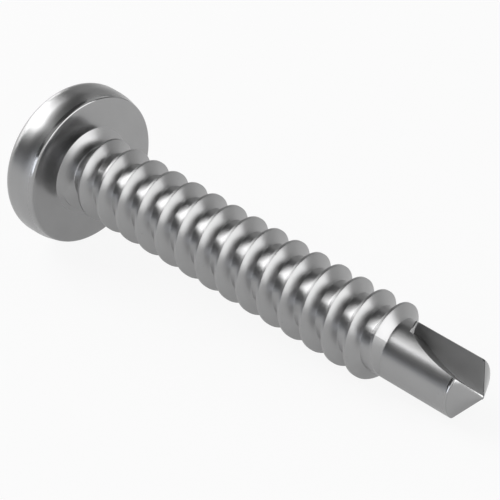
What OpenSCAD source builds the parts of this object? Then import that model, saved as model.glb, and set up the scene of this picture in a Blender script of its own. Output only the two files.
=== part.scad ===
// Pan head self drilling screw, lying as it comes to rest on a flat floor.
// Millimetres. X runs along the screw from the head to the drill point, Z is up.
// The box around the screw stands on z = 0 with its middle over x = 0, y = 0.
// Each shape is first made upright, with the bearing face of the head on z = 0,
// the shank going up and the head below it, and lay_down() then tilts it to rest.

/* [Head] */
// Diameter of the pan head
head_d = 9.45; // [8:0.02:11]
// Height of the head over its bearing face
head_h = 3.62; // [3:0.01:4.4]
// Radius of the crown of the head
crown_r = 7.9; // [6.5:0.1:10]
// Radius of the rounding between the side and the crown
shoulder_r = 0.9; // [0.6:0.02:1.6]
// Rounding of the edge around the bearing face
rim_r = 0.32; // [0.05:0.01:0.5]
// Diameter of the cone under the head where it leaves the bearing face
neck_d = 5.36; // [4.9:0.02:5.6]
// Height of that cone
neck_h = 0.45; // [0.2:0.01:1]

/* [Cross recess] */
// Width over the four wings at the top of the head
recess_d = 4.7; // [4:0.05:5.2]
// Depth of the recess under the top of the head
recess_h = 2.6; // [1.5:0.05:2.8]
// Width of a wing at the top
wing_w = 1.2; // [0.8:0.02:1.6]
// Diameter of the round core between the wings
recess_core_d = 2.3; // [1.8:0.05:2.8]

/* [Thread] */
// Distance from one turn to the next
pitch = 1.6; // [1.2:0.01:2]
// Diameter over the crest of the thread
thread_d = 4.77; // [4.5:0.01:5]
// Diameter of the shank between the turns and at the drill point
shank_d = 3.46; // [3.2:0.01:3.9]
// Angle between the two flanks of a turn
flank_angle = 60; // [40:1:70]
// Width of the flat on the crest
crest_w = 0.16; // [0.02:0.01:0.3]
// Distance of the last full turn's end from the bearing face
thread_end = 23.8; // [10:0.05:26]
// Whole and part turns of full height
full_turns = 14.96; // [4:0.01:15.5]
// Part of a turn over which the thread dies out in the shank
fade_turns = 0.24; // [0.1:0.01:0.5]

/* [Drill point] */
// Length from the bearing face to the tip
length = 29.9; // [26:0.05:38]
// Angle of the point's cone
point_angle = 118; // [90:1:140]
// Radius of a flute's floor as it rises out of the shank
flute_r = 11; // [6:0.1:20]
// Distance of the deepest place of a flute from the tip
flute_back = 0.27; // [0:0.01:2]
// Half the thickness of the web left between the flutes
half_web = 0.09; // [0.03:0.01:0.4]
// Turn of the flutes about the screw, from the side to the top
flute_turn = 45; // [0:1:180]

/* [Quality] */
// Steps of the thread in one turn
steps = 48; // [24:1:60]

/* [Hidden] */
$fn = 96;
head_r = head_d / 2;
thread_r = thread_d / 2;
shank_r = shank_d / 2;
half_flank = flank_angle / 2;
// Middle of the crown's arc, on the axis
crown_z = crown_r - head_h;
// Place where the rounding's middle lies
shoulder_x = head_r - shoulder_r;
shoulder_z = crown_z - sqrt(pow(crown_r - shoulder_r, 2) - pow(shoulder_x, 2));
// Angle from the axis at which the crown and the rounding meet
meet = asin(shoulder_x / (crown_r - shoulder_r));
// Height of the point's cone
point_h = shank_r / tan(point_angle / 2);
// The thread starts and ends inside the shank by this much
sunk = 0.2;
root_r = shank_r - sunk;
// Turn of the screw about its own axis as it lies
roll = 3.6;
// Place of the last crest that touches the floor
rest_x = thread_end - pitch * (225 + roll) / 360 + crest_w / 2;
// Tilt at which the rim and that crest both touch the floor
reach = rest_x + rim_r;
drop = head_r - rim_r - thread_r;
tilt = atan(drop / reach) + asin(rim_r / sqrt(reach * reach + drop * drop));
// Height of the axis over the floor at the bearing face
axis_z = rest_x * sin(tilt) + thread_r * cos(tilt);
// Middle of the whole length along x as it lies
middle_x = 13.067;

// Tilts a shape that stands on its bearing face down to the floor
module lay_down() {
    translate([-middle_x, 0, axis_z])
        rotate([0, tilt, 0]) rotate([roll, 0, 0]) rotate([0, 90, 0]) rotate([0, 0, 90])
            children();
}

// Outline of the head on one side of its axis, with true arcs
module head_outline() {
    difference() {
        intersection() {
            translate([0, -head_h]) square([head_r, head_h]);
            translate([0, crown_z]) circle(crown_r);
        }
        // rounding between side and crown
        difference() {
            polygon([
                [shoulder_x, shoulder_z],
                [shoulder_x + 4 * sin(meet), shoulder_z - 4 * cos(meet)],
                [shoulder_x + 6, shoulder_z - 4],
                [shoulder_x + 6, shoulder_z]
            ]);
            translate([shoulder_x, shoulder_z]) circle(shoulder_r);
        }
        // rounding at the bearing face
        difference() {
            translate([head_r - rim_r, -rim_r]) square(1);
            translate([head_r - rim_r, -rim_r]) circle(rim_r);
        }
    }
}

// The head with the cone under it
module head() {
    color([0.72, 0.73, 0.75]) {
        rotate_extrude() head_outline();
        cylinder(h = neck_h, d1 = neck_d, d2 = shank_d);
    }
}

// One pair of opposite wings of the cross recess, growing wider upward
module wing_pair() {
    bottom_w = wing_w * 0.72;
    rotate([90, 0, 0]) linear_extrude(height = 8, center = true)
        polygon([
            [-wing_w / 2 - 0.1, -head_h - 1],
            [wing_w / 2 + 0.1, -head_h - 1],
            [bottom_w / 2, -head_h + recess_h],
            [-bottom_w / 2, -head_h + recess_h]
        ]);
}

// The cross recess in the crown
module recess() {
    color([0.55, 0.56, 0.58]) {
        intersection() {
            union() {
                wing_pair();
                rotate([0, 0, 90]) wing_pair();
                translate([0, 0, -head_h - 1])
                    cylinder(h = recess_h + 1.3, d1 = recess_core_d + 0.6, d2 = recess_core_d * 0.4);
            }
            translate([0, 0, -head_h - 1])
                cylinder(h = recess_h + 2, d1 = recess_d + 1.1, d2 = recess_core_d * 0.45);
        }
    }
}

// Straight shank with the cone of the drill point
module shank() {
    color([0.72, 0.73, 0.75]) {
        translate([0, 0, -1]) cylinder(h = length - point_h + 1, r = shank_r);
        translate([0, 0, length - point_h]) cylinder(h = point_h, r1 = shank_r, r2 = 0);
    }
}

// One flute: a flat wall through the axis and a floor that rises out of the shank
module flute() {
    color([0.55, 0.56, 0.58])
        rotate([0, 0, flute_turn])
            rotate([-90, -90, 0]) translate([length - flute_back, half_web + flute_r, 0])
                cylinder(h = 4, r = flute_r);
}

// Share of the ridge's height that is left, t being turns past the full end
function left_over(t) = t <= 0 ? 1 : max(0, 1 - 0.4 * t / fade_turns - 0.6 * pow(t / fade_turns, 2));

// Radius of the crest there
function crest_r(t) = root_r + 0.05 + (thread_r - root_r - 0.05) * left_over(t);

// Four corners of the ridge at turn u, counted from the thread's start
function ridge_ring(u) =
    let (
        top = crest_r(u - full_turns),
        angle = 135 + 360 * (u - full_turns),
        z = thread_end + pitch * (u - full_turns),
        half = crest_w / 2 + (top - root_r) * tan(half_flank)
    )
    [for (c = [[root_r, -half], [top, -crest_w / 2], [top, crest_w / 2], [root_r, half]])
        [c[0] * cos(angle), c[0] * sin(angle), z + c[1]]];

// The thread's ridge, wound around the shank
module thread() {
    rings = ceil((full_turns + fade_turns) * steps);
    u_step = (full_turns + fade_turns) / rings;
    points = [for (i = [0:rings]) for (p = ridge_ring(i * u_step)) p];
    sides = [for (i = [0:rings - 1]) for (j = [0:3])
        let (a = 4 * i + j, b = 4 * i + (j + 1) % 4)
        for (f = [[a, b, b + 4], [a, b + 4, a + 4]]) f];
    ends = [[2, 1, 0], [3, 2, 0],
        [4 * rings, 4 * rings + 1, 4 * rings + 2], [4 * rings, 4 * rings + 2, 4 * rings + 3]];
    color([0.72, 0.73, 0.75]) polyhedron(points = points, faces = concat(sides, ends));
}

// The whole screw
module screw() {
    lay_down() {
        union() {
            difference() {
                union() {
                    head();
                    shank();
                }
                recess();
                flute();
                rotate([0, 0, 180]) flute();
            }
            thread();
        }
    }
}

screw();
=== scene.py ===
# %% [markdown]
# This is a pan head self drilling screw in plain steel, lying on a pale floor as it comes to rest.
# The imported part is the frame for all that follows: its box and its place on the floor are fixed,
# and every shape here keeps to them.

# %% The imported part
import math

import bpy
from mathutils import Euler, Matrix, Vector


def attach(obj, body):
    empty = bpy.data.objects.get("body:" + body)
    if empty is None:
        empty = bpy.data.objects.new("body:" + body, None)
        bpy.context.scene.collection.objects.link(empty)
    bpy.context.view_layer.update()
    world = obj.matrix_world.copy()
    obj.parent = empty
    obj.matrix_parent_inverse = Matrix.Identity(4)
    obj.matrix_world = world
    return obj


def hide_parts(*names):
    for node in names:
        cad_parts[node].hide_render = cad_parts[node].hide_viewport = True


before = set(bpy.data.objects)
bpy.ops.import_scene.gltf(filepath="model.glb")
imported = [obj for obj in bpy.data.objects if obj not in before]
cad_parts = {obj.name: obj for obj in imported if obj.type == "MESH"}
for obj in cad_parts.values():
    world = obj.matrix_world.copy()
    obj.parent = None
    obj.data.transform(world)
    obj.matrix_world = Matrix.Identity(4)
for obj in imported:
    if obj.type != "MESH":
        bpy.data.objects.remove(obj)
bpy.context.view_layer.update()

# %% [markdown]
# The shapes are made in millimetres in the screw's own frame: its axis runs along X, the bearing
# face of the head lies at x = 0 and the drill point at the far end. They could be made in metres
# and tilted from the start, but so each number is one that a maker of screws would know, and only
# the finished piece is laid down. A few helpers make a mesh, apply modifiers, count triangles, and
# cut or join closed solids.

# %% Sizes and mesh helpers
SHANK_R, THREAD_R = 1.73, 2.385
LENGTH, POINT_ANGLE = 29.9, math.radians(118)
POINT_H = SHANK_R / math.tan(POINT_ANGLE / 2)


def mesh_object(name, points, faces):
    """A new mesh object, linked to the scene."""
    mesh = bpy.data.meshes.new(name)
    mesh.from_pydata([tuple(p) for p in points], [], faces)
    mesh.validate()
    obj = bpy.data.objects.new(name, mesh)
    bpy.context.scene.collection.objects.link(obj)
    return obj


def finished(obj, name):
    """A plain mesh object with every modifier of obj applied, and obj taken away."""
    graph = bpy.context.evaluated_depsgraph_get()
    mesh = bpy.data.meshes.new_from_object(obj.evaluated_get(graph))
    out = bpy.data.objects.new(name, mesh)
    bpy.context.scene.collection.objects.link(out)
    bpy.data.objects.remove(obj)
    return out


def triangles(obj):
    """How many triangles the mesh of obj has."""
    obj.data.calc_loop_triangles()
    return len(obj.data.loop_triangles)


def combine(obj, other, operation, name):
    """obj cut by or joined to other, as one closed mesh. Both are taken away."""
    step = obj.modifiers.new("combine", "BOOLEAN")
    step.operation, step.object, step.solver = operation, other, "MANIFOLD"
    bpy.context.view_layer.update()
    out = finished(obj, name)
    bpy.data.objects.remove(other)
    return out


print("height of the point's cone, mm:", round(POINT_H, 3))

# %% [markdown]
# The head, the low cone under it, the shank and the point are round about one axis. They could be
# cylinders and spheres joined together, but one outline turned about the axis, as on a lathe, has
# no seams. The outline is a row of (x, radius) pairs: true arcs for the crown and the shoulder, and
# a hair of rounding at each edge, because a real edge is never quite sharp and catches a thin line
# of light. Over its last millimetre the side of the head draws in towards the rim, as a forged side
# does where the metal didn't quite fill the die.

# %% Sizes of the blank
HEAD_R, HEAD_H = 4.725, 3.62
CROWN_R, SHOULDER_R = 7.9, 0.9
SIDE_X, BEND_X, STRAIGHT_X = -1.5, -1.1, -0.5  # the side bends inwards, then runs straight
BEND_DROP, RIM_DROP, RIM_ROUND = 0.069, 0.184, 0.14
NECK_R, NECK_H, NECK_FOOT, NECK_TOP = 2.68, 0.45, 0.03, 0.05
POINT_X, POINT_ROUND = LENGTH - POINT_H, 0.1
print("straight shank, mm:", round(POINT_X - NECK_H, 2))

# %% Arcs and corners of the outline
def arc(cx, cr, radius, start, stop, count):
    """Points of an arc in the outline. The angle is 0 towards the head and 90 degrees outwards."""
    angles = [math.radians(start + (stop - start) * i / count) for i in range(count + 1)]
    return [(cx - radius * math.cos(a), cr + radius * math.sin(a)) for a in angles]


def blunted(before, corner, after, size):
    """A corner of the outline, rounded over a length of size on either side."""
    c = Vector(corner)
    p = c + (Vector(before) - c).normalized() * size
    q = c + (Vector(after) - c).normalized() * size
    return [tuple(p.lerp(c, t).lerp(c.lerp(q, t), t)) for t in (0, 0.25, 0.5, 0.75, 1)]


# %% Outline of the head and the shank
def head_outline():
    """The crown, the shoulder, the side that draws in, the rim and the bearing face."""
    crown_x = CROWN_R - HEAD_H
    shoulder_r = HEAD_R - SHOULDER_R
    shoulder_x = crown_x - math.sqrt((CROWN_R - SHOULDER_R) ** 2 - shoulder_r ** 2)
    meet = math.degrees(math.asin(shoulder_r / (CROWN_R - SHOULDER_R)))
    side = [(BEND_X + (STRAIGHT_X - BEND_X) * i / 6, HEAD_R - BEND_DROP * (i / 6) ** 2)
            for i in range(7)]
    return (arc(crown_x, 0, CROWN_R, 0, meet, 22)
            + arc(shoulder_x, shoulder_r, SHOULDER_R, meet, 90, 12)[1:]
            + [(SIDE_X, HEAD_R)] + side
            + blunted(side[-1], (0, HEAD_R - RIM_DROP), (0, NECK_R), RIM_ROUND)
            + [(0, r) for r in (4.0, 3.6, 3.2, 2.9)])


def shank_outline():
    """The low cone under the head, the shank in short lengths, and the cone of the point."""
    foot, top, end = (0, NECK_R), (NECK_H, SHANK_R), (POINT_X, SHANK_R)
    first_ring, ring_step, ring_count = 1.0, 0.9, 31
    return (blunted((0, HEAD_R), foot, top, NECK_FOOT)
            + blunted(foot, top, end, NECK_TOP)
            + [(first_ring + ring_step * i, SHANK_R) for i in range(ring_count)]
            + blunted(top, end, (LENGTH, 0), POINT_ROUND)
            + [(POINT_X + POINT_H * t, SHANK_R * (1 - t)) for t in (0.25, 0.5, 0.75, 0.95)]
            + [(LENGTH, 0)])


outline = head_outline() + shank_outline()
print("outline:", len(outline), "points")

# %% [markdown]
# A Screw modifier could turn the outline, but it leaves a seam and a fan of loose ends at each
# pole. Writing the rings out closes both poles in one point each, and the blank is a closed solid,
# which is what the cuts that follow need.

# %% Turning the blank
AROUND = 192


def lathe(name, pairs, around):
    """A closed solid of revolution about X. The first and the last pair lie on the axis."""
    points = [(pairs[0][0], 0, 0)]
    for x, r in pairs[1:-1]:
        for i in range(around):
            a = 2 * math.pi * i / around
            points.append((x, r * math.cos(a), r * math.sin(a)))
    points.append((pairs[-1][0], 0, 0))
    rings = len(pairs) - 2
    faces = [(0, 1 + (i + 1) % around, 1 + i) for i in range(around)]
    for k in range(rings - 1):
        a, b = 1 + k * around, 1 + (k + 1) * around
        faces += [(a + i, a + (i + 1) % around, b + (i + 1) % around, b + i)
                  for i in range(around)]
    a, tip = 1 + (rings - 1) * around, len(points) - 1
    faces += [(a + i, a + (i + 1) % around, tip) for i in range(around)]
    return mesh_object(name, points, faces)


blank = lathe("blank", outline, AROUND)
print("blank:", triangles(blank), "triangles")

# %% [markdown]
# The drill point is pinched from the blank between two dies, which leave two flutes, one on each
# side. A flute has a flat wall through the axis and a floor that sweeps up from the web in a long
# arc, runs level and stops at a blunt end that leans forward. A cylinder could cut the arc alone.
# Here the cutter is a prism with the floor's outline, held inside two more shapes: the room in
# front of the blunt end, and all that lies beyond a slanted plane, which leaves the small bright
# facet beside the last ridge. The second flute is the first turned half round.

# %% Sizes of the flutes
FLUTE_R, FLUTE_BACK, HALF_WEB = 11.0, 0.27, 0.09
FLOOR_LEVEL, FLUTE_TURN = 1.05, math.radians(45)
OVERRUN = 9  # degrees by which the floor's arc runs on past its deepest place, out of the tip
END_X, END_LEAN, END_ROUND = 24.12, 0.6, 0.15
FACET_PLACE, FACET_NORMAL = (24.25, 1.39, 0.083), (1, 0.3, 0.55)
BEHIND, AHEAD, CLEAR = 22, 35, 5  # places well behind the flutes, past the tip and off the shank
print("a flute's floor, mm over its web:", round(FLOOR_LEVEL - HALF_WEB, 2))

# %% Cutters for the flutes
def prism(name, flat, low, high):
    """A prism over the outline flat, whose points are (x, w), from s = low to s = high."""
    n = len(flat)
    points = [(x, w, low) for x, w in flat] + [(x, w, high) for x, w in flat]
    faces = [tuple(range(n))[::-1], tuple(range(n, 2 * n))]
    faces += [(i, (i + 1) % n, n + (i + 1) % n, n + i) for i in range(n)]
    return mesh_object(name, points, faces)


def flute_outline():
    """The floor of a flute: the arc up from the web, then level to the blunt end."""
    cx, cw = LENGTH - FLUTE_BACK, HALF_WEB + FLUTE_R
    rise = math.degrees(math.acos((cw - FLOOR_LEVEL) / FLUTE_R))
    angles = [math.radians(-rise + (rise + OVERRUN) * i / 60) for i in range(61)]
    floor = [(cx + FLUTE_R * math.sin(a), cw - FLUTE_R * math.cos(a)) for a in angles]
    return [(BEHIND, FLOOR_LEVEL)] + floor + [(cx + 2.5, CLEAR), (BEHIND, CLEAR)]


def flute_end():
    """The room in front of a blunt end, which leans forward and meets the wall in a round."""
    back = math.atan2(1, END_LEAN)
    middle = END_X + END_ROUND / math.tan(back / 2)
    swing = 180 - math.degrees(back)
    angles = [math.radians(270 - swing * i / 8) for i in range(9)]
    bend = [(middle + END_ROUND * math.cos(a), END_ROUND + END_ROUND * math.sin(a))
            for a in angles]
    flat = bend + [(END_X + CLEAR * END_LEAN, CLEAR), (AHEAD, CLEAR), (AHEAD, 0)]
    obj = prism("flute_end", flat[::-1], -12, 1)
    obj.data.transform(Matrix.Rotation(math.radians(90), 4, "X"))
    return obj


def beyond(place, normal):
    """A large box that fills the space beyond a plane through that place."""
    deep, half = 12, 9
    obj = prism("beyond", [(0, -half), (deep, -half), (deep, half), (0, half)], -half, half)
    turn = Vector(normal).to_track_quat("X", "Z").to_matrix().to_4x4()
    obj.data.transform(Matrix.Translation(place) @ turn)
    return obj


# %% Cutting the flutes
screw = blank
for turn in (FLUTE_TURN, FLUTE_TURN + math.pi):
    flute = prism("flute", flute_outline(), 0.0, 4.0)
    flute = combine(flute, flute_end(), "INTERSECT", "flute")
    flute = combine(flute, beyond(FACET_PLACE, FACET_NORMAL), "INTERSECT", "flute")
    flute.data.transform(Matrix.Rotation(turn, 4, "X"))
    screw = combine(screw, flute, "DIFFERENCE", "blank_fluted")
print("with flutes:", triangles(screw), "triangles")

# %% [markdown]
# The cross recess is struck into the crown by a punch. Its faces could be modelled one by one, but
# the punch is simple: two pairs of wings that narrow towards the bottom and a tapered round core,
# all held inside a cone. It is built that way and taken out of the head.

# %% Cross recess
RECESS_R, RECESS_H, WING_W, CORE_R = 2.35, 2.6, 1.2, 1.15
ABOVE, BOTTOM = -HEAD_H - 1, -HEAD_H + RECESS_H  # a millimetre over the crown, and the bottom


def wings(turn):
    """A pair of opposite wings of the punch, narrower towards the bottom of the recess."""
    top, low = WING_W / 2 + 0.1, WING_W * 0.36
    flat = [(ABOVE, -top), (BOTTOM, -low), (BOTTOM, low), (ABOVE, top)]
    obj = prism("wings", flat, -4, 4)
    obj.data.transform(Matrix.Rotation(turn, 4, "X"))
    return obj


def cone(name, x0, r0, x1, r1):
    """A closed cone about X, from radius r0 at x0 to radius r1 at x1."""
    return lathe(name, [(x0, 0), (x0, r0), (x1, r1), (x1, 0)], 64)


punch = combine(wings(0), wings(math.pi / 2), "UNION", "punch")
core = cone("core", ABOVE, CORE_R + 0.3, BOTTOM + 0.3, CORE_R * 0.4)
punch = combine(punch, core, "UNION", "punch")
taper = cone("taper", ABOVE, RECESS_R + 0.55, BOTTOM + 1, CORE_R * 0.45)
punch = combine(punch, taper, "INTERSECT", "punch")
screw = combine(screw, punch, "DIFFERENCE", "blank_struck")
print("with the recess:", triangles(screw), "triangles")

# %% [markdown]
# The thread and the steel are both worked out by nodes, and long chains of Math nodes are hard to
# read and to write. This small class wraps one number socket, of a material or of a geometry tree,
# and each operator adds one Math node, so the sums look like sums. All other nodes come from
# add_node(), which takes a type, its settings, and the values or links of its sockets.

# %% Sums between sockets
class Num:
    """A number socket of a node tree, with operators that add Math nodes."""

    def __init__(self, tree, socket):
        self.tree, self.socket = tree, socket

    def math(self, operation, *others):
        """The Math node of that operation, on this number and the others."""
        node = self.tree.nodes.new("ShaderNodeMath")
        node.operation = operation
        for place, value in zip(node.inputs, (self, *others)):
            if isinstance(value, Num):
                self.tree.links.new(value.socket, place)
            else:
                place.default_value = value
        return Num(self.tree, node.outputs[0])

    def flipped(self, operation, first):
        """The same with a plain number first, for an operator that is read from its right."""
        node = self.tree.nodes.new("ShaderNodeMath")
        node.operation = operation
        node.inputs[0].default_value = first
        self.tree.links.new(self.socket, node.inputs[1])
        return Num(self.tree, node.outputs[0])

    def __add__(self, other): return self.math("ADD", other)
    def __radd__(self, other): return self.flipped("ADD", other)
    def __sub__(self, other): return self.math("SUBTRACT", other)
    def __rsub__(self, other): return self.flipped("SUBTRACT", other)
    def __mul__(self, other): return self.math("MULTIPLY", other)
    def __rmul__(self, other): return self.flipped("MULTIPLY", other)
    def __truediv__(self, other): return self.math("DIVIDE", other)
    def __rtruediv__(self, other): return self.flipped("DIVIDE", other)

    def held(self, low, high):
        """This number, held between low and high."""
        return self.math("MAXIMUM", low).math("MINIMUM", high)

    def span(self, low, high, to=1.0):
        """0 up to low, then a straight rise to the amount to at high, and level from there."""
        return ((self - low) / (high - low)).held(0.0, 1.0) * to

    def between(self, low, rise, fall, high):
        """1 from rise to fall, and 0 below low and above high."""
        return self.span(low, rise) * (1 - self.span(fall, high))

    def outside(self, low, high):
        """1 below low and above high, and 0 between them."""
        under, over = self.math("LESS_THAN", low), self.math("GREATER_THAN", high)
        return (under + over).math("MINIMUM", 1.0)

    def mixed(self, other, mask):
        """This number where the mask is 0, and the other where it is 1."""
        return self * (1 - mask) + other * mask


# %% Other nodes
def feed(tree, node, inputs):
    """Sets or links sockets of a node, which are given by name or number."""
    for place, value in inputs.items():
        source = value.socket if isinstance(value, Num) else value
        if isinstance(source, bpy.types.NodeSocket):
            tree.links.new(source, node.inputs[place])
        else:
            node.inputs[place].default_value = source


def add_node(tree, kind, settings=None, inputs=None):
    """A node of that type, with its settings and the values or links of its sockets."""
    node = tree.nodes.new(kind)
    for name, value in (settings or {}).items():
        setattr(node, name, value)
    feed(tree, node, inputs or {})
    return node


# %% [markdown]
# The thread is rolled between flat dies: one ridge wound about the shank, with a narrow flat on its
# crest, flanks a little more open than 60 degrees, and a small hollow at each root, where the metal
# flowed. It starts abruptly under the head and dies out in a quarter turn before the flutes. A
# profile could be swept along a spiral curve, but the sweep tilts it and blurs the crest. So a tree
# of Geometry Nodes takes a flat grid, whose rows are cuts across the ridge and whose columns run
# along it, and works out the place of each point from the thread's sizes, which are its inputs.

# %% Sizes of the thread
THREAD = {
    "Pitch": 1.6, "Crest radius": THREAD_R, "Shank radius": SHANK_R, "Crest width": 0.16,
    "Half flank angle": math.radians(33.5), "Full turns": 14.96, "Fade turns": 0.24,
    "End place": 23.8, "End angle": math.radians(135),
    "Crest rounding": 0.015, "Root rounding": 0.05,
}
STEPS, ACROSS = 100, 33  # rows to a turn, and columns on the outside of the ridge
COLUMNS = ACROSS + 3  # two more lie inside the shank, and the last meets the first again
ROWS = round((THREAD["Full turns"] + THREAD["Fade turns"]) * STEPS)
FADED_IN, UNDERSIDE_IN, END_IN = 0.15, 0.25, 0.1  # how far each lies inside the shank
CORNER, ROOT_NEAR, ROOT_PAST = 0.045, 0.12, 0.17  # where many columns lie, at crest and root
CROWDING = 0.93  # how far three rows draw together where the fade begins
SAME_PLACE = 0.0005  # points closer than this become one
print("ridge's grid:", ROWS + 3, "rows of", COLUMNS, "points")


# %% Along and across the ridge
def along_ridge(size, row):
    """Turns from the thread's start at each row, and how much of the fade is past there."""
    turn = (size["Full turns"] + size["Fade turns"]) / float(ROWS)
    turns = (row - 1).held(0.0, float(ROWS)) * turn
    # Three rows crowd together where the fade begins, so that the light breaks there at a line
    to_fade = turns - size["Full turns"]
    crowd = (to_fade * STEPS).math("ABSOLUTE").math("LESS_THAN", 1.5)
    turns = size["Full turns"] + to_fade * (1 - CROWDING * crowd)
    return turns, (turns - size["Full turns"]).math("MAXIMUM", 0.0) / size["Fade turns"]


def across_ridge(size, column, past):
    """Radius of the ridge at each column, and its distance along x from the ridge's middle."""
    shank, half_crest = size["Shank radius"], size["Crest width"] / 2
    faded = shank - FADED_IN
    crest = faded + (size["Crest radius"] - faded) * (1 - 0.75 * past - 0.25 * past * past)

    # Columns from -1 to 1 across: many at the crest's corners and at the roots, few between
    side = ((column - 1) / float(ACROSS - 1)).held(0.0, 1.0) * 2 - 1
    side = side * (1 - 2 * column.math("GREATER_THAN", ACROSS + 1.5))
    far = side.math("ABSOLUTE")
    slope = size["Half flank angle"].math("TANGENT")
    half = half_crest + (crest - shank).math("MAXIMUM", 0.05) * slope
    away = (far.span(0.0, 0.4) * (half_crest + CORNER)
            + far.span(0.4, 0.56) * (half - ROOT_NEAR - half_crest - CORNER).math("MAXIMUM", 0.01)
            + far.span(0.56, 1.0, ROOT_NEAR + ROOT_PAST))

    # Flat crest, straight flank and hollow root, run into each other
    flank = crest + (half_crest - away) / slope
    surface = crest.math("SMOOTH_MIN", flank, size["Crest rounding"])
    surface = surface.math("SMOOTH_MAX", shank - 0.003, size["Root rounding"])
    radius = surface.mixed(shank - UNDERSIDE_IN, column.outside(0.5, ACROSS + 0.5))
    return radius, away * side.math("SIGN")


# %% [markdown]
# The two sums above give each point its radius, its turn about the axis and its place along it.
# The first and the last row are drawn to a point, and the last column meets the first, so once
# points in the same place are merged the ridge is a closed solid that can be joined to the blank.

# %% The thread's ridge
def thread_tree(steel):
    """The Geometry Nodes tree that makes the ridge, with the thread's sizes as its inputs."""
    tree = bpy.data.node_groups.new("thread_ridge", "GeometryNodeTree")
    for name in THREAD:
        tree.interface.new_socket(name=name, in_out="INPUT", socket_type="NodeSocketFloat")
    tree.interface.new_socket(name="Mesh", in_out="OUTPUT", socket_type="NodeSocketGeometry")
    given = add_node(tree, "NodeGroupInput")
    size = {name: Num(tree, given.outputs[name]) for name in THREAD}

    index = Num(tree, add_node(tree, "GeometryNodeInputIndex").outputs[0])
    row = (index / COLUMNS).math("FLOOR")
    column = index - row * COLUMNS
    turns, past = along_ridge(size, row)
    radius, offset = across_ridge(size, column, past)
    closed = row.outside(0.5, ROWS + 1.5)
    radius = radius.mixed(size["Shank radius"] - END_IN, closed)
    offset = offset * (1 - closed)
    angle = size["End angle"] + (turns - size["Full turns"]) * (2 * math.pi)
    along = size["End place"] + (turns - size["Full turns"]) * size["Pitch"] + offset

    place = add_node(tree, "ShaderNodeCombineXYZ", inputs={
        "X": along, "Y": radius * angle.math("COSINE"), "Z": radius * angle.math("SINE")})
    grid = add_node(tree, "GeometryNodeMeshGrid", inputs={
        "Vertices X": ROWS + 3, "Vertices Y": COLUMNS})
    wound = add_node(tree, "GeometryNodeSetPosition", inputs={
        "Geometry": grid.outputs["Mesh"], "Position": place.outputs[0]})
    joined = add_node(tree, "GeometryNodeMergeByDistance", inputs={
        "Geometry": wound.outputs[0], "Distance": SAME_PLACE})
    real = add_node(tree, "GeometryNodeRealizeInstances", inputs={"Geometry": joined.outputs[0]})
    dressed = add_node(tree, "GeometryNodeSetMaterial", inputs={
        "Geometry": real.outputs[0], "Material": steel})
    add_node(tree, "NodeGroupOutput", inputs={"Mesh": dressed.outputs[0]})
    return tree


def wind_thread(steel):
    """The ridge as a plain mesh, from the tree with its inputs set."""
    obj = mesh_object("thread", [(0, 0, 0)], [])
    step = obj.modifiers.new("wind", "NODES")
    step.node_group = thread_tree(steel)
    for item in step.node_group.interface.items_tree:
        if item.in_out == "INPUT":
            step[item.identifier] = THREAD[item.name]
    bpy.context.view_layer.update()
    return finished(obj, "thread")


# %% [markdown]
# A screw that drops on a floor comes to rest on the rim of its head and on the crest of one of its
# last turns. The part's source works that place out, and the same numbers stand here: the screw is
# turned about its axis, tilted, and moved so that its box stands over the middle of the floor.

# %% How the screw lies
ROLL, TILT = math.radians(3.6), math.radians(5.7674)
TO_PLACE = Vector((-13.067, 0, 4.6705))  # where the middle of the bearing face goes
LAY = Matrix.Translation(TO_PLACE) @ Matrix.Rotation(TILT, 4, "Y") @ Matrix.Rotation(ROLL, 4, "X")
print("tip as it lies, mm:", [round(v, 2) for v in LAY @ Vector((LENGTH, 0, 0))])

# %% [markdown]
# The steel is bright and lightly used. Its surface isn't even: the roughness and the colour drift
# in soft patches a millimetre or two across, fine drawing marks run around the axis, and a few
# nicks break the shine. Tools polish what they press on, so the bearing face, the rim of the head
# and the cone of the point mirror more sharply than the rest. Shade is painted into the colour of
# the pinched flutes, which are darker, less so on their flat walls towards the tip.
# Pictures of metal could give all this, but they would need files and a map of the surface. Sums
# of noises and masks on Object coordinates need neither. The coordinates are brought to millimetres
# and turned back into the screw's own frame, so a mask is a range of x or of the distance from the
# axis.

# %% Places and noises on the steel
RIM_BAND, RIM_RADII = (-0.3, -0.16, 0.03, 0.1), (4.2, 4.3)
FACE_BAND, FACE_RADII = (-0.1, -0.03, 0.02, 0.05), (2.6, 2.7)
POINT_BAND, POINT_RADII = (LENGTH - 0.2, LENGTH - 0.12), (1.62, 1.66)
CONE_BAND, UNDER_SHANK = (LENGTH - 0.04, LENGTH - 0.01), (SHANK_R - 0.04, SHANK_R - 0.01)


def own_place(tree):
    """A point's place in the screw's own frame in millimetres, from its Object coordinates."""
    where = add_node(tree, "ShaderNodeTexCoord")
    back = Matrix.Rotation(-ROLL, 4, "X") @ Matrix.Rotation(-TILT, 4, "Y")
    own = add_node(tree, "ShaderNodeMapping", {"vector_type": "POINT"}, {
        "Vector": where.outputs["Object"], "Scale": (1000, 1000, 1000),
        "Rotation": back.to_euler("XYZ"), "Location": back @ -TO_PLACE})
    return own.outputs[0]


def noise(tree, at, scale, detail, stretch=(1, 1, 1)):
    """A soft noise from 0 to 1 at that place, stretched by those scales along x, y and z."""
    at = add_node(tree, "ShaderNodeMapping", inputs={"Vector": at, "Scale": stretch}).outputs[0]
    cloud = add_node(tree, "ShaderNodeTexNoise", inputs={
        "Vector": at, "Scale": scale, "Detail": detail})
    return Num(tree, cloud.outputs[0])


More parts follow.
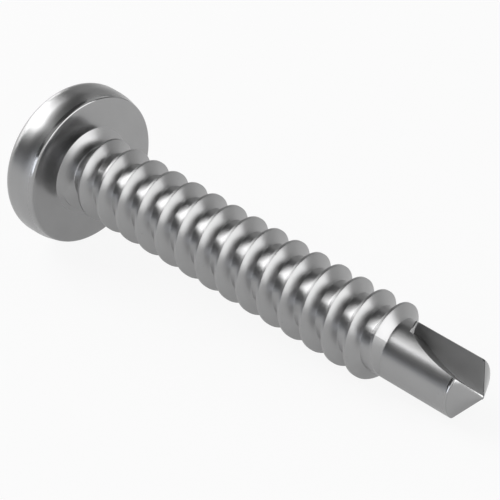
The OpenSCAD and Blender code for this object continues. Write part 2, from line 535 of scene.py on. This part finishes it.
def polished_places(x, radius, to_tip):
    """How much less rough the steel is where tools press: the rim, the point and the face."""
    rim = x.between(*RIM_BAND) * radius.span(*RIM_RADII)
    point_edge = to_tip.span(*POINT_BAND) * radius.span(*POINT_RADII)
    point = point_edge.math("MAXIMUM", to_tip.span(*CONE_BAND))
    face = x.between(*FACE_BAND) * radius.span(*FACE_RADII)
    return (0.16 * (rim + point)).math("MAXIMUM", 0.1 * face)


def flute_painted_shade(x, y, z, radius, to_tip):
    """Painted shade: how much darker the colour is in the flutes, less on their flat walls near the
    tip.
    """
    below = 1 - radius.span(*UNDER_SHANK)
    behind_cone = 1 - to_tip.span(*CONE_BAND)
    in_flute = below * behind_cone * x.span(24.0, 24.1)
    off_wall = (z - y).math("ABSOLUTE").span(0.03, 0.1)
    # Painted shade: the flute floors are darkened by half, and the flat walls less towards the tip.
    return in_flute * (0.5 - x.span(25.5, 29.5, 0.35) * (1 - off_wall))


# %% [markdown]
# The masks and noises meet here. One even grey with one roughness would be quicker, but would look
# like foil. What varies feeds only the roughness, the colour and the bump, because those can be
# baked when the piece is exported, and the metallic value is one constant. The roughness crosses
# 0.27 only in narrow bands, because the denoiser changes its way with a metal there, and a noise
# that wandered to and fro across that border would leave grit.

# %% Steel
STEEL_TONE, STEEL_ROUGHNESS = (0.394, 0.394, 0.395), 0.305
NICK_BAND = (0.73, 0.8)  # the noise makes a nick where it rises through this band
BUMP_STRENGTH, BUMP_HEIGHT = 0.06, 0.00002


def steel_material():
    """Bright steel with drift, drawing marks, nicks, polished places and shade painted in the
    flutes.
    """
    mat = bpy.data.materials.new("steel")
    mat.use_nodes = True
    tree = mat.node_tree
    at = own_place(tree)
    x, y, z = (Num(tree, s) for s in add_node(
        tree, "ShaderNodeSeparateXYZ", inputs={"Vector": at}).outputs)
    radius = (y * y + z * z).math("SQRT")
    to_tip = x + radius * (POINT_H / SHANK_R)  # LENGTH all over the point's cone, less elsewhere

    patches = noise(tree, at, 0.7, 3.0) - 0.5
    grain = noise(tree, at, 4.0, 1.0) - 0.5
    marks = noise(tree, at, 1.0, 2.0, (14.0, 1.2, 1.2)) - 0.5
    nicks = noise(tree, at, 3.2, 2.0).span(*NICK_BAND)
    crest = radius.span(THREAD_R - 0.1, THREAD_R - 0.02) * x.span(0.2, 0.6)
    rough = (STEEL_ROUGHNESS + 0.05 * patches + 0.02 * grain + 0.04 * crest + 0.05 * nicks
             - polished_places(x, radius, to_tip))
    # The colour drifts in patches and darkens at nicks, and painted shade darkens the flutes.
    shade = 1 + 0.12 * patches - 0.18 * nicks - flute_painted_shade(x, y, z, radius, to_tip)
    tone = add_node(tree, "ShaderNodeVectorMath", {"operation": "SCALE"}, {
        0: STEEL_TONE, "Scale": shade.math("MAXIMUM", 0.3)})
    bump = add_node(tree, "ShaderNodeBump", inputs={
        "Height": 0.3 * grain + 0.4 * marks - 0.3 * nicks,
        "Strength": BUMP_STRENGTH, "Distance": BUMP_HEIGHT})
    feed(tree, tree.nodes["Principled BSDF"], {
        "Metallic": 1.0, "Roughness": rough.math("MAXIMUM", 0.06),
        "Base Color": tone.outputs[0], "Normal": bump.outputs[0]})
    return mat


steel = steel_material()
print("steel:", len(steel.node_tree.nodes), "nodes")

# %% [markdown]
# The ridge and the blank are joined into one closed solid, as they are on the real screw. They
# could stay two meshes pushed into each other, but then each root would be a hard crossing and the
# exported piece would have hidden faces. The whole is then laid down and brought to metres.

# %% Joining and laying down
SHARP_ANGLE = math.radians(32)  # faces that meet at more than this keep a sharp edge

ridge = wind_thread(steel)
print("ridge:", triangles(ridge), "triangles")
screw = combine(screw, ridge, "UNION", "screw_smooth")
screw.data.transform(Matrix.Scale(0.001, 4) @ LAY)
screw.data.materials.clear()
screw.data.materials.append(steel)
screw.data.shade_smooth()
screw.data.set_sharp_from_angle(angle=SHARP_ANGLE)
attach(screw, "root")
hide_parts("screw")
low, high = (Vector([f(v.co[i] for v in screw.data.vertices) for i in range(3)])
             for f in (min, max))
print("smooth screw:", triangles(screw), "triangles, mm",
      [round(v * 1000, 2) for v in high - low], "lowest", round(low.z * 1000, 3))

# %% [markdown]
# The floor is plain and pale. A very bright lamp could bleach it, but would bleach the screw too.
# Instead part of it glows for the camera and for what the metal mirrors, and the rest keeps its own
# shading, so that the screw still stands on its shadow.

# %% Floor
FLOOR_HALF, FLOOR_TONE = 2.5, (0.82, 0.82, 0.82, 1)


def seen_by(tree, camera, mirrored):
    """A number that is camera on the camera's own rays, and mirrored on those metal sends on."""
    path = add_node(tree, "ShaderNodeLightPath")
    own, glossy, through = (Num(tree, path.outputs["Is %s Ray" % kind])
                            for kind in ("Camera", "Glossy", "Transmission"))
    return own * camera + (glossy + through) * mirrored


def pale_floor():
    """A flat square under the screw, white to the camera."""
    h = FLOOR_HALF
    obj = mesh_object("floor", [(-h, -h, 0), (h, -h, 0), (h, h, 0), (-h, h, 0)], [(0, 1, 2, 3)])
    mat = bpy.data.materials.new("floor_white")
    mat.use_nodes = True
    tree = mat.node_tree
    matt = tree.nodes["Principled BSDF"]
    feed(tree, matt, {"Base Color": FLOOR_TONE, "Roughness": 0.9, "Specular IOR Level": 0.0})
    white = add_node(tree, "ShaderNodeEmission", inputs={"Color": (1, 1, 1, 1)})
    mix = add_node(tree, "ShaderNodeMixShader", inputs={
        0: seen_by(tree, 0.9, 0.43).math("MINIMUM", 1.0), 1: matt.outputs[0], 2: white.outputs[0]})
    feed(tree, tree.nodes["Material Output"], {"Surface": mix.outputs[0]})
    obj.data.materials.append(mat)
    return obj


floor = pale_floor()
print("floor, m:", [round(v, 2) for v in floor.dimensions])

# %% [markdown]
# Bright metal shows what stands around it, so its look comes less from its colour than from what it
# mirrors. A picture of a room could stand around the screw. A ring of large soft lamps with dim
# gaps between them is plainer and easier to tune: a group behind the head, a faintly cool one low
# at the near side, one beyond the drill point and dim ones at the far side. Each is given as the
# screw sees it, by its bearing, its height over the floor and how many degrees it fills.

# %% Lamps
WHITE, COOL, LAMP_AWAY = (1, 1, 1), (0.9, 0.93, 1.0), 0.5

LAMPS = [  # name, bearing, height, degrees wide and high, glow, colour
    ("lamp_behind_head", -165, 42, 38, 27, 4.1, WHITE),
    ("lamp_behind_head_side", 163, 48, 12, 14, 1.1, WHITE),
    ("lamp_behind_head_near", -133, 50, 10, 12, 0.9, WHITE),
    ("lamp_behind_head_high", -151, 59, 38, 18, 0.8, WHITE),
    ("lamp_behind_head_low", 178, 18, 50, 28, 2.3, WHITE),
    ("lamp_near_side", -90, 10, 22, 22, 2.6, COOL),
    ("lamp_near_side_low", -112, 4, 70, 12, 0.32, COOL),
    ("lamp_near_side_soft", -66, 8, 26, 20, 0.6, COOL),
    ("lamp_beyond_point", 12, 10, 54, 34, 2.8, WHITE),
    ("lamp_near_point", -45, 20, 50, 30, 1.1, WHITE),
    ("lamp_far_point_high", 62, 50, 70, 36, 0.5, WHITE),
    ("lamp_near_side_high", -62, 56, 50, 28, 0.45, WHITE),
    ("lamp_far_side_low", 98, 8, 116, 22, 0.48, WHITE),
    ("lamp_far_side", 112, 31, 80, 24, 0.32, WHITE),
]


def soft_box(name, bearing, height, wide, high, glow, tint):
    """A soft lamp that faces the screw and fills that many degrees as seen from there."""
    az, el = math.radians(bearing), math.radians(height)
    to = Vector((math.cos(el) * math.cos(az), math.cos(el) * math.sin(az), math.sin(el)))
    data = bpy.data.lights.new(name, "AREA")
    data.shape = "RECTANGLE"
    data.size = 2 * LAMP_AWAY * math.tan(math.radians(wide / 2))
    data.size_y = 2 * LAMP_AWAY * math.tan(math.radians(high / 2))
    data.energy = glow * math.pi * data.size * data.size_y
    data.color = tint
    obj = bpy.data.objects.new(name, data)
    obj.location = to * LAMP_AWAY
    obj.rotation_euler = to.to_track_quat("Z", "Y").to_euler()
    obj.visible_camera = False
    bpy.context.scene.collection.objects.link(obj)
    return obj


lamps = [soft_box(*row) for row in LAMPS]
print(len(lamps), "lamps,", round(sum(lamp.data.energy for lamp in lamps), 2), "W in all")

# %% [markdown]
# The camera sees a white room, the metal a dim one between the lamps, and a little even light from
# it softens every shadow. One strength can't do all three, so Light Path tells them apart.

# %% Room
EVEN_LIGHT = 0.05

world = bpy.data.worlds.new("room")
bpy.context.scene.world = world
world.use_nodes = True
feed(world.node_tree, world.node_tree.nodes["Background"], {
    "Color": (1, 1, 1, 1), "Strength": seen_by(world.node_tree, 0.9, 0.03) + EVEN_LIGHT})

# %% [markdown]
# The camera looks back at the screw from beyond the drill point and above it. It stands less than
# a seventh of a metre away, so the point comes out large and the head small. A longer lens from
# further off could frame the same screw, but would make the two ends look alike.

# %% Camera
lens = bpy.data.cameras.new("camera")
lens.sensor_fit, lens.sensor_width, lens.lens = "HORIZONTAL", 36.0, 175.8
lens.clip_start, lens.clip_end = 0.005, 20.0
camera = bpy.data.objects.new("camera", lens)
camera.location = (0.084613, -0.081217, 0.066880)
camera.rotation_euler = Euler([math.radians(a) for a in (61.8512, 1.5848, 45.3436)], "XYZ")
bpy.context.scene.collection.objects.link(camera)
bpy.context.scene.camera = camera
bpy.context.scene.view_settings.view_transform = "Standard"
print("camera's distance, m:", round(camera.location.length, 3))
